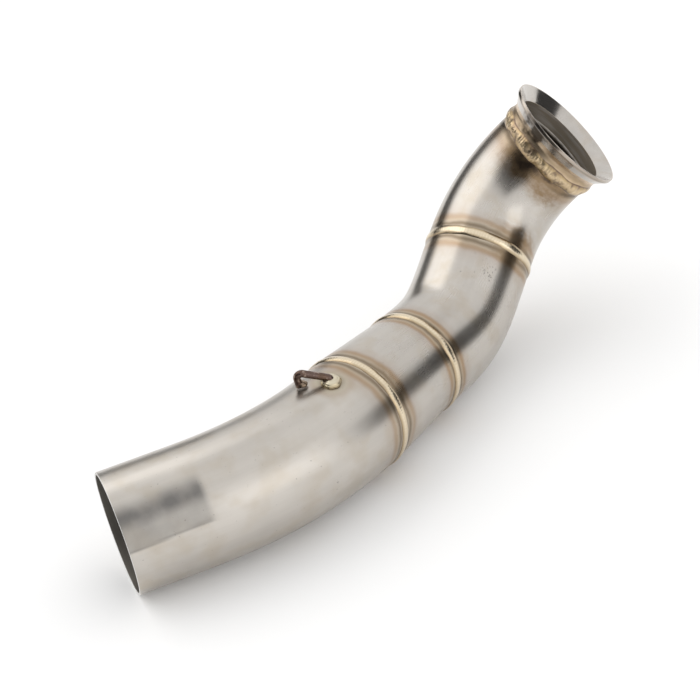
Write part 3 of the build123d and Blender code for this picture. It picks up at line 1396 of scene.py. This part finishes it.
@dataclass
class WeldRings:
    """The four butt welds, each a rippled bead outside, a web in the gap and a low root inside.

    A stretch of a weld's outline is its lengths, its radii, its place across the bead from -1 to 1, its
    ripple and whether it is inside, each with a row for every ring.

    Attributes:
        axis: The pipe's axis.
        heat: Where the steel is marked.
        root_half: Half the width of the root.
        root: Height of the root.
        root_sunk: How far the root's edges lie in the wall.
        sunk: How far the bead's edges lie in the tubes.
        web_inset: How far the web's corners lie in the wall.
        fill: Share of its crown that an even bead reaches.
        reach: Share of its half width that an even bead reaches.
        roundness: Power that shapes the bead's section.
        bow: How far a ripple lags at the bead's edges, in ripples.
        columns: Points in a ring.
        crossings: Points across the bead.
        root_crossings: Points across the root.
    """

    axis: PipeAxis
    heat: HeatMap
    root_half: float = 1.5 * MM
    root: float = 0.4 * MM
    root_sunk: float = 0.02 * MM
    sunk: float = 0.03 * MM
    web_inset: float = 0.1 * MM
    fill: float = 0.86
    reach: float = 0.97
    roundness: float = 1.05
    bow: float = 0.55
    columns: int = 720
    crossings: int = 21
    root_crossings: int = 9

    def bead_stretch(self, bead: Bead) -> Stretch:
        """The bead outside, from the tube before it to the tube after it.

        With t from -1 to 1 across the bead, its height is fill crown (1 - t^2)^roundness, plus ripples
        that arch back from the middle: phase = clock x radius / pitch + bow t^2, sharpened so that each
        scale has a steep front. The width, the middle line, the height and the pace of the ripples
        wander with a few slow sines.
        """
        clock = whole_turn(self.columns)

        def uneven(draw: int, share: float, count: int, lowest: int, highest: int) -> Array:
            """Slow sines round the bead, as a share of its unrest."""
            return waves(clock, bead.seed + draw, count, lowest, highest) * bead.unrest * share

        across = np.linspace(-1, 1, self.crossings)[:, None]
        arch = 1 - across**2
        wander = uneven(0, 0.30, 5, 2, 11)
        spread = np.clip(1 + uneven(1, 0.5, 6, 3, 23), 0.8, 1.03)
        ripples = round(np.pi * (bead.before + bead.after) / bead.pitch)
        drift = uneven(2, 2.2, 5, 2, 17)
        phase = (ripples * clock / (2 * np.pi) + self.bow * across**2 + drift) % 1.0
        scale = phase**2 * (3 - 2 * phase)
        dome = np.clip(arch, 0, 1) ** self.roundness
        lumps = 1 + uneven(3, 0.35, 7, 4, 37)
        height = bead.crown * (self.fill * dome * lumps) + bead.ripple * (scale - 0.5) * dome
        height = np.minimum(height, bead.crown) - self.sunk
        along = bead.at + bead.half_width * (across * self.reach * spread + wander * arch)
        radius = bead.before + (bead.after - bead.before) * (across + 1) / 2 + height
        return along, radius, across, scale, 0 * across

    def root_stretch(self, bead: Bead, bore: float) -> Stretch:
        """The root inside, from the tube after the bead to the tube before it."""
        across = np.linspace(1, -1, self.root_crossings)[:, None]
        uneven = 0.9 + 0.1 * waves(whole_turn(self.columns), bead.seed + 4, 6, 5, 40)
        radius = bore + self.root_sunk - self.root * (1 - across**2) * uneven
        return bead.at + self.root_half * across, radius, across, 0 * across, 1 + 0 * across

    @staticmethod
    def web_stretch(along: float, first: float, second: float) -> Stretch:
        """One side of the web in the gap: two rings at one length."""
        ones = np.ones((2, 1))
        return along * ones, np.array([[first], [second]]), ones, 0 * ones, ones

    def skin(self, bead: Bead) -> Skin:
        """The closed skin of one bead, with its web and root."""
        bore = min(bead.before, bead.after) - WALL
        inset = self.web_inset
        stretches = (
            self.bead_stretch(bead),
            self.web_stretch(bead.at + HALF_GAP, bead.after - inset, bore + inset),
            self.root_stretch(bead, bore),
            self.web_stretch(bead.at - HALF_GAP, bore + inset, bead.before - inset),
        )
        along, radius, across, ripple, inside = (
            np.vstack([rows + np.zeros(self.columns) for rows in parts]) for parts in zip(*stretches)
        )
        grid = PipeGrid.carried(self.axis, along, radius, self.columns)
        values = self.heat.fields(grid, inside)
        values.update({Field.ACROSS: across, Field.RIPPLE: ripple})
        return Skin(grid.points, values)

    def build(self, collar: float) -> None:
        """Builds the four welds, the last of them onto a collar of the given radius."""
        smooth = WeldFinish("Smooth straw bead").material()
        rough = WeldFinish(
            "Rough gold bead",
            crest=(0.70, 0.55, 0.35),
            side=(0.46, 0.34, 0.19),
            toe=(0.15, 0.105, 0.085),
            bloom=(0.38, 0.27, 0.22),
            burnt=0.7,
            texture=0.5,
            roughness=0.30,
        ).material()
        axis = self.axis
        beads = (
            (Bead("lower_weld", axis.lower_joint, OUTLET_RADIUS, OUTLET_RADIUS, seed=11), smooth),
            (Bead("middle_weld", axis.middle_joint, HEAD_RADIUS, HEAD_RADIUS, seed=23), smooth),
            (Bead("upper_weld", axis.upper_joint, HEAD_RADIUS, HEAD_RADIUS, seed=37), smooth),
            (
                Bead(
                    "flange_weld",
                    axis.flange_joint,
                    HEAD_RADIUS,
                    collar,
                    seed=53,
                    half_width=3.8 * MM,
                    crown=1.05 * MM,
                    pitch=2.1 * MM,
                    ripple=0.17 * MM,
                    unrest=0.46,
                ),
                rough,
            ),
        )
        for bead, finish in beads:
            keep(self.skin(bead).object(f"{bead.node}_bead", finish), bead.node)


@dataclass
class InletFlange:
    """The turned flange: collar, flare, thin rim and polished conical seat.

    Attributes:
        axis: The pipe's axis.
        heat: Where the steel is marked.
        collar: Radius of the collar.
        rim: Radius of the rim.
        rim_edge: Thickness of the rim.
        land: Width of the flat on the rim's face.
        flare: Length of the flare.
        seat: Depth of the conical seat.
        columns: Points in a ring.
        step: Longest step along the outline.
    """

    axis: PipeAxis
    heat: HeatMap
    collar: float = 28.5 * MM
    rim: float = 33.3 * MM
    rim_edge: float = 1.6 * MM
    land: float = 0.7 * MM
    flare: float = 6.2 * MM
    seat: float = 5.2 * MM
    columns: int = 256
    step: float = 0.5 * MM

    def build(self) -> None:
        """Builds the flange.

        Its outline runs up the outside, over the rim and down the cone, with each corner broken as a
        lathe tool leaves it. The seat takes no tint, the rim is darker at its edge, and shade is painted
        behind the rim.
        """
        start, face = self.axis.flange_joint + HALF_GAP, self.axis.flange_joint + self.axis.flange
        bore, shoulder = HEAD_RADIUS - WALL, face - self.rim_edge
        corners = (
            (start, bore, 0.0),
            (start, self.collar, 0.0),
            (shoulder - self.flare, self.collar, 3.0 * MM),
            (shoulder, self.rim, 0.25 * MM),
            (face, self.rim, 0.28 * MM),
            (face, self.rim - self.land, 0.15 * MM),
            (face - self.seat, bore, 0.5 * MM),
        )
        outline = eased_profile(corners, self.step)
        grid = PipeGrid.carried(self.axis, outline[:, :1], outline[:, 1:], self.columns)
        along, radius = grid.along, grid.radius
        throat = (radius < bore + 0.1 * MM) & (along < face - self.seat + 0.4 * MM)
        seat = (radius < self.rim - self.land) & (along > face - self.seat) & ~throat
        edge = (radius > self.rim - 0.35 * MM) & (along > shoulder - 0.2 * MM)
        # Painted shade in the corner behind the rim.
        shade_behind_rim = np.exp(-(((along - shoulder) / (0.5 * MM)) ** 2)) * (radius > self.collar)
        values = self.heat.fields(grid, throat.astype(float))
        values[Field.FLANGE_GAP] = np.where(seat, 1.0, values[Field.FLANGE_GAP])
        values[Field.RUBBED_AND_SHADED] = np.clip(0.25 * edge + 0.5 * shade_behind_rim, 0, 1) * ~seat
        ring = Skin(grid.points, values).object("inlet_flange_ring", TurnedSteel().material())
        keep(ring, "inlet_flange")


@dataclass
class HookWork:
    """The spring hook and the welds at its two feet.

    The hook's own frame has x straight out of the tube at the rear foot and z from the front foot to
    the rear one, laid over the tube at a skew.

    Attributes:
        axis: The pipe's axis.
        turn: Where the rear foot stands in the lower bend, in degrees of it.
        clock: Clock of the rear foot, in degrees.
        skew: Angle between the hook's z and the pipe, in degrees.
        rod: Radius of the rod.
        span: Distance between the feet.
        height: Height of the front corner over the tube.
        shoulder: Height of the rear corner.
        overhang: How far the front corner lies past the front foot.
        bend: Radius of the rod's bends.
        root: Depth at which the rod stops in the tube's wall.
        aim: Depth under the front foot that the front leg aims at.
        rear_weld: Radius and height of the rear weld.
        front_weld: Radius and height of the front weld.
        dish: Depth of a weld in the tube.
        rod_rings: Circles along the rod.
        rod_columns: Points in each of them.
        dome_rings: Rings of a weld.
        dome_columns: Points in each of them.
        dome_tip: Polar angle of the ring at each tip, in radians.
        pool_rings: Pace of the low rings where the pool froze, in radians per radian.
    """

    axis: PipeAxis
    turn: float = 32.4
    clock: float = 107.0
    skew: float = 43.5
    rod: float = 1.8 * MM
    span: float = 13.6 * MM
    height: float = 7.3 * MM
    shoulder: float = 2.3 * MM
    overhang: float = 3.4 * MM
    bend: float = 2.2 * MM
    root: float = 0.9 * MM
    aim: float = 6.0 * MM
    rear_weld: tuple[float, float] = (5.2 * MM, 2.7 * MM)
    front_weld: tuple[float, float] = (2.6 * MM, 1.9 * MM)
    dish: float = 0.7 * MM
    rod_rings: int = 110
    rod_columns: int = 28
    dome_rings: int = 40
    dome_columns: int = 72
    dome_tip: float = 0.04
    pool_rings: float = 15.0

    def frame_of(self) -> tuple[Array, Array]:
        """Origin and directions of the hook's frame.

        Returns:
            The origin and a matrix whose columns are its x, y and z.
        """
        along = self.axis.lower.lead + self.axis.lower.radius * np.radians(self.turn)
        place, directions = self.axis.at(np.array([along]))
        turned = directions[0] @ turn_about(2, self.clock)
        origin = place[0] + turned[:, 0] * OUTLET_RADIUS
        return origin, turned @ turn_about(0, -self.skew)

    def corner_arc(self, before: Array, corner: Array, after: Array, steps: int = 18) -> Array:
        """The arc that rounds one corner of the rod's line, as points in the line's plane."""
        back = (before - corner) / np.linalg.norm(before - corner)
        on = (after - corner) / np.linalg.norm(after - corner)
        half = np.arccos(np.clip(back @ on, -1, 1)) / 2
        reach = self.bend / np.tan(half)
        centre = corner + (back + on) / np.linalg.norm(back + on) * self.bend / np.sin(half)
        start, end = corner + back * reach - centre, corner + on * reach - centre
        sweep = np.arctan2(start[0] * end[1] - start[1] * end[0], start @ end)
        angle = np.linspace(0, sweep, steps)[:, None]
        return centre + np.cos(angle) * start + np.sin(angle) * np.array([-start[1], start[0]])

    def path(self) -> Array:
        """The rod's centre line, with its two corners rounded, in even steps.

        Returns:
            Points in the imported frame, N by 3.
        """
        past = self.span + self.overhang
        lean = (self.height + self.root) / (self.height + self.aim)
        knots = np.array(
            [
                (-self.root, 0.0),
                (self.shoulder, 0.0),
                (self.height, -past),
                (-self.root, self.overhang * lean - past),
            ]
        )
        arcs = [self.corner_arc(*knots[index - 1 : index + 2]) for index in (1, 2)]
        flat = np.vstack([knots[:1], *arcs, knots[-1:]])
        length = np.r_[0, np.cumsum(np.linalg.norm(np.diff(flat, axis=0), axis=1))]
        even = np.linspace(0, length[-1], self.rod_rings)
        flat = np.stack([np.interp(even, length, flat[:, i]) for i in (0, 1)], axis=1)
        origin, directions = self.frame_of()
        return origin + flat[:, :1] * directions[:, 0] + flat[:, 1:] * directions[:, 2]

    def rod_skin(self) -> Skin:
        """The rod: circles square to the path, whose plane normal is one cross direction all along."""
        path = self.path()
        _, directions = self.frame_of()
        tangent = np.gradient(path, axis=0)
        tangent /= np.linalg.norm(tangent, axis=1)[:, None]
        side = np.repeat(directions[None, :, 1], len(path), axis=0)
        lift = np.cross(side, tangent)
        clock = whole_turn(self.rod_columns)[:, None]
        dents = 1 + 0.02 * waves(np.linspace(0, 6, len(path)), 5, 5, 2, 9)
        ring = np.cos(clock) * side[:, None] + np.sin(clock) * lift[:, None]
        points = path[:, None] + self.rod * dents[:, None, None] * ring
        return Skin(points, {}, rows_close=False)

    def dome_skin(self, shift: float, size: tuple[float, float], seed: int) -> Skin:
        """A blob of weld: a dome above the tube, a shallow dish below it.

        At polar angle p the dome is radius sin p out and height cos p up, and dish cos p down past the
        equator, with its rim uneven by slow sines and low rings where the pool froze.

        Args:
            shift: Place of the blob's middle from the rear foot, towards the rear.
            size: Radius on the tube and height above it.
            seed: Seed of its unevenness.

        Returns:
            The skin.
        """
        radius, height = size
        origin, directions = self.frame_of()
        polar = np.linspace(self.dome_tip, np.pi - self.dome_tip, self.dome_rings)[:, None]
        clock = whole_turn(self.dome_columns)
        rings = 1 + 0.018 * np.sin(polar * self.pool_rings + 0.5 * np.cos(clock))
        up = np.where(np.cos(polar) > 0, height * np.cos(polar), self.dish * np.cos(polar)) * rings
        out = radius * np.sin(polar) * (1 + 0.05 * waves(clock, seed, 5, 2, 6)) * rings
        own = np.stack([up, out * np.cos(clock), out * np.sin(clock)], axis=-1)
        lay = own @ directions.T
        across = 0.9 * np.sin(polar) ** 3 + 0 * clock
        ripple = 0.5 + 0.5 * np.sin(polar * self.pool_rings) + 0 * clock
        fields = {Field.LAY: lay, Field.ACROSS: across, Field.RIPPLE: ripple}
        return Skin(origin + directions[:, 2] * shift + lay, fields, rows_close=False)

    def build(self) -> None:
        """Builds the hook and its two welds."""
        keep(self.rod_skin().object("spring_hook_rod", BurntRod().material()), "spring_hook")
        bright = WeldFinish(
            "Bright hook weld",
            crest=(0.68, 0.62, 0.48),
            side=(0.55, 0.47, 0.31),
            toe=(0.34, 0.27, 0.17),
            roughness=0.3,
        )
        dark = WeldFinish(
            "Dark hook weld", crest=(0.30, 0.23, 0.17), side=(0.18, 0.13, 0.09), toe=(0.06, 0.045, 0.035)
        )
        rear = self.dome_skin(0.0, self.rear_weld, 3)
        front = self.dome_skin(-self.span, self.front_weld, 8)
        keep(rear.object("hook_weld_rear_dome", bright.material()), "hook_weld_rear")
        keep(front.object("hook_weld_front_dome", dark.material()), "hook_weld_front")


# The studio


def bearing(heading: float, height: float) -> Array:
    """Unit vector at a heading from +Y towards +X and a height above level, both in degrees."""
    turned, raised = np.radians([heading, height])
    return np.array([np.cos(raised) * np.sin(turned), np.cos(raised) * np.cos(turned), np.sin(raised)])


def matt_board(name: str, paint: str, corners: Array, tone: float, roughness: float) -> bpy.types.Object:
    """A flat piece of the stage in a matt grey paint.

    Args:
        name: Name of the object.
        paint: Name of its material.
        corners: Its four corners, 4 by 3.
        tone: Its grey, 0 to 1.
        roughness: Its roughness.

    Returns:
        The object.
    """
    mesh = bpy.data.meshes.new(name)
    mesh.from_pydata(corners.tolist(), [], [(0, 1, 2, 3)])
    board = bpy.data.objects.new(name, mesh)
    bpy.context.scene.collection.objects.link(board)
    made = bpy.data.materials.new(paint)
    made.use_nodes = True
    shader = made.node_tree.nodes["Principled BSDF"]
    shader.inputs["Base Color"].default_value = (tone, tone, tone, 1.0)
    shader.inputs["Roughness"].default_value = roughness
    shader.inputs["Specular IOR Level"].default_value = 0.0
    mesh.materials.append(made)
    return board


SIGNS = np.array([(-1, -1), (1, -1), (1, 1), (-1, 1)])


@dataclass(frozen=True)
class Softbox:
    """One area lamp that faces the object: its heading and height, distance, size, power and tone."""

    name: str
    heading: float
    height: float
    distance: float
    width: float
    depth: float
    power: float
    tone: Colour = (1.0, 1.0, 1.0)

    def light(self) -> None:
        """Puts the lamp in the scene."""
        lamp = bpy.data.lights.new(self.name, "AREA")
        lamp.shape, lamp.size, lamp.size_y = "RECTANGLE", self.width, self.depth
        lamp.energy, lamp.color = self.power, self.tone
        stand = bpy.data.objects.new(self.name, lamp)
        aim = Vector((0.0, 0.0, 0.05))
        place = aim + Vector((bearing(self.heading, self.height) * self.distance).tolist())
        facing = (aim - place).to_track_quat("-Z", "Y").to_matrix().to_4x4()
        stand.matrix_world = Matrix.Translation(place) @ facing
        bpy.context.scene.collection.objects.link(stand)


@dataclass(frozen=True)
class Card:
    """A dark card out of the picture: its bearing, distance, size and tone.

    The metal mirrors it. It shows in no picture and shades nothing, because neither the camera's rays
    nor diffuse or shadow rays see it.
    """

    name: str
    heading: float
    height: float
    distance: float
    width: float
    depth: float
    tone: float

    def stand(self) -> None:
        """Puts the card in the scene, square to its bearing.

        A corner is the bearing times the distance, plus or minus half the width along the level
        direction and half the depth along the one square to both.
        """
        outward = bearing(self.heading, self.height)
        level = bearing(self.heading + 90.0, 0.0)
        upright = np.cross(level, outward)
        corners = (
            outward * self.distance
            + SIGNS[:, :1] * level * self.width / 2
            + SIGNS[:, 1:] * upright * self.depth / 2
        )
        card = matt_board(self.name, self.name, corners, self.tone, 1.0)
        card.visible_camera = False
        card.visible_diffuse = False
        card.visible_shadow = False


@dataclass(frozen=True)
class View:
    """The photograph's viewpoint: what it looks at, from how far, its heading from +Y towards +X, its dip
    below level, its roll and its lens for a 36 mm wide square picture."""

    aim: Place = (-0.03366, -0.02413, 0.07211)
    distance: float = 1.08
    heading: float = 36.453
    dip: float = 31.451
    roll: float = -10.149
    lens: float = 118.286

    def place(self) -> None:
        """Puts the camera in the scene."""
        ahead = bearing(self.heading, -self.dip)
        level = bearing(self.heading + 90.0, 0.0)
        upright = np.cross(level, ahead)
        roll = np.radians(self.roll)
        matrix = np.eye(4)
        matrix[:3, 0] = np.cos(roll) * level + np.sin(roll) * upright
        matrix[:3, 1] = -np.sin(roll) * level + np.cos(roll) * upright
        matrix[:3, 2] = -ahead
        matrix[:3, 3] = np.array(self.aim) - self.distance * ahead
        lens = bpy.data.cameras.new("Photograph's view")
        lens.lens, lens.sensor_width = self.lens, 36.0
        lens.clip_start, lens.clip_end = 0.05, 50.0
        camera = bpy.data.objects.new("Photograph's view", lens)
        camera.matrix_world = Matrix(matrix.tolist())
        bpy.context.scene.collection.objects.link(camera)
        bpy.context.scene.camera = camera


@dataclass
class Studio:
    """A white floor, a pale room, soft lamps and dark cards.

    Attributes:
        floor_size: Side of the floor.
        floor_tone: Grey of the floor's paint.
        own_light: Share of plain white that the floor shows to the camera and in mirrors.
        level_wall: Level of the room at its walls.
        level_ceiling: Level of the room overhead.
        lamps: The lamps.
        cards: The cards.
    """

    floor_size: float = 60.0
    floor_tone: float = 0.95
    own_light: float = 0.05
    level_wall: float = 0.97
    level_ceiling: float = 1.01
    lamps: tuple[Softbox, ...] = (
        Softbox("Overhead softbox", -24.0, 49.0, 3.4, 4.3, 2.8, 29.5, (1.0, 0.98, 0.95)),
        Softbox("Front fill", 171.0, 17.0, 3.4, 2.3, 1.8, 8.0),
    )
    cards: tuple[Card, ...] = (
        Card("Left card", -91.0, 25.0, 4.0, 7.8, 3.8, 0.09),
        Card("Low back card", 4.0, 9.5, 4.0, 3.7, 1.6, 0.05),
        Card("Right card", 121.0, 8.0, 0.45, 0.33, 0.26, 0.05),
    )

    def floor(self) -> None:
        """Lays the floor, which reads white where nothing shades it."""
        corners = np.hstack([SIGNS * self.floor_size / 2, np.zeros((4, 1))])
        floor = matt_board("Floor", "White floor", corners, self.floor_tone, 0.9)
        tree = floor.data.materials[0].node_tree
        wires = Wiring(tree)
        glow = wires.add("Emission", {"Color": (1.0, 1.0, 1.0), "Strength": 1.0})
        rays = wires.add("LightPath").outputs
        mirrored = wires.math("MAXIMUM", rays["Is Glossy Ray"], rays["Is Transmission Ray"])
        share = wires.times(wires.math("MAXIMUM", rays["Is Camera Ray"], mirrored), self.own_light)
        painted = tree.nodes["Principled BSDF"].outputs[0]
        blend = wires.add("MixShader", {0: share, 1: painted, 2: glow.outputs[0]})
        wires.feed(tree.nodes["Material Output"].inputs["Surface"], blend.outputs[0])

    def surroundings(self) -> None:
        """Sets the pale room, whose level rises from the walls to the ceiling with height."""
        world = bpy.data.worlds.new("Room")
        bpy.context.scene.world = world
        world.use_nodes = True
        wires = Wiring(world.node_tree)
        ground = world.node_tree.nodes["Background"]
        height = wires.add("SeparateXYZ", {0: wires.add("TexCoord").outputs["Generated"]}).outputs[2]
        walls, ceiling = (self.level_wall,) * 3, (self.level_ceiling,) * 3
        wires.feed(ground.inputs["Color"], wires.mix(wires.remap(height, 0.0, 0.95), walls, ceiling))
        wires.feed(ground.inputs["Strength"], 1.0)

    def build(self) -> None:
        """Builds the floor, the room, the lamps, the cards and the camera."""
        self.floor()
        self.surroundings()
        for lamp in self.lamps:
            lamp.light()
        for card in self.cards:
            card.stand()
        View().place()


def main() -> None:
    """Builds the pipe and the studio."""
    logging.basicConfig(level=logging.INFO, format="%(message)s")
    bpy.context.scene.view_settings.view_transform = "Standard"
    axis = pipe_on_the_floor()
    hook = HookWork(axis)
    rear_foot, _ = hook.frame_of()
    heat = heat_map(axis, tuple(rear_foot))
    flange = InletFlange(axis, heat)
    TubeWork(axis, heat).build(SatinTube().material())
    WeldRings(axis, heat).build(flange.collar)
    flange.build()
    hook.build()
    Studio().build()


if __name__ == "__main__":
    main()
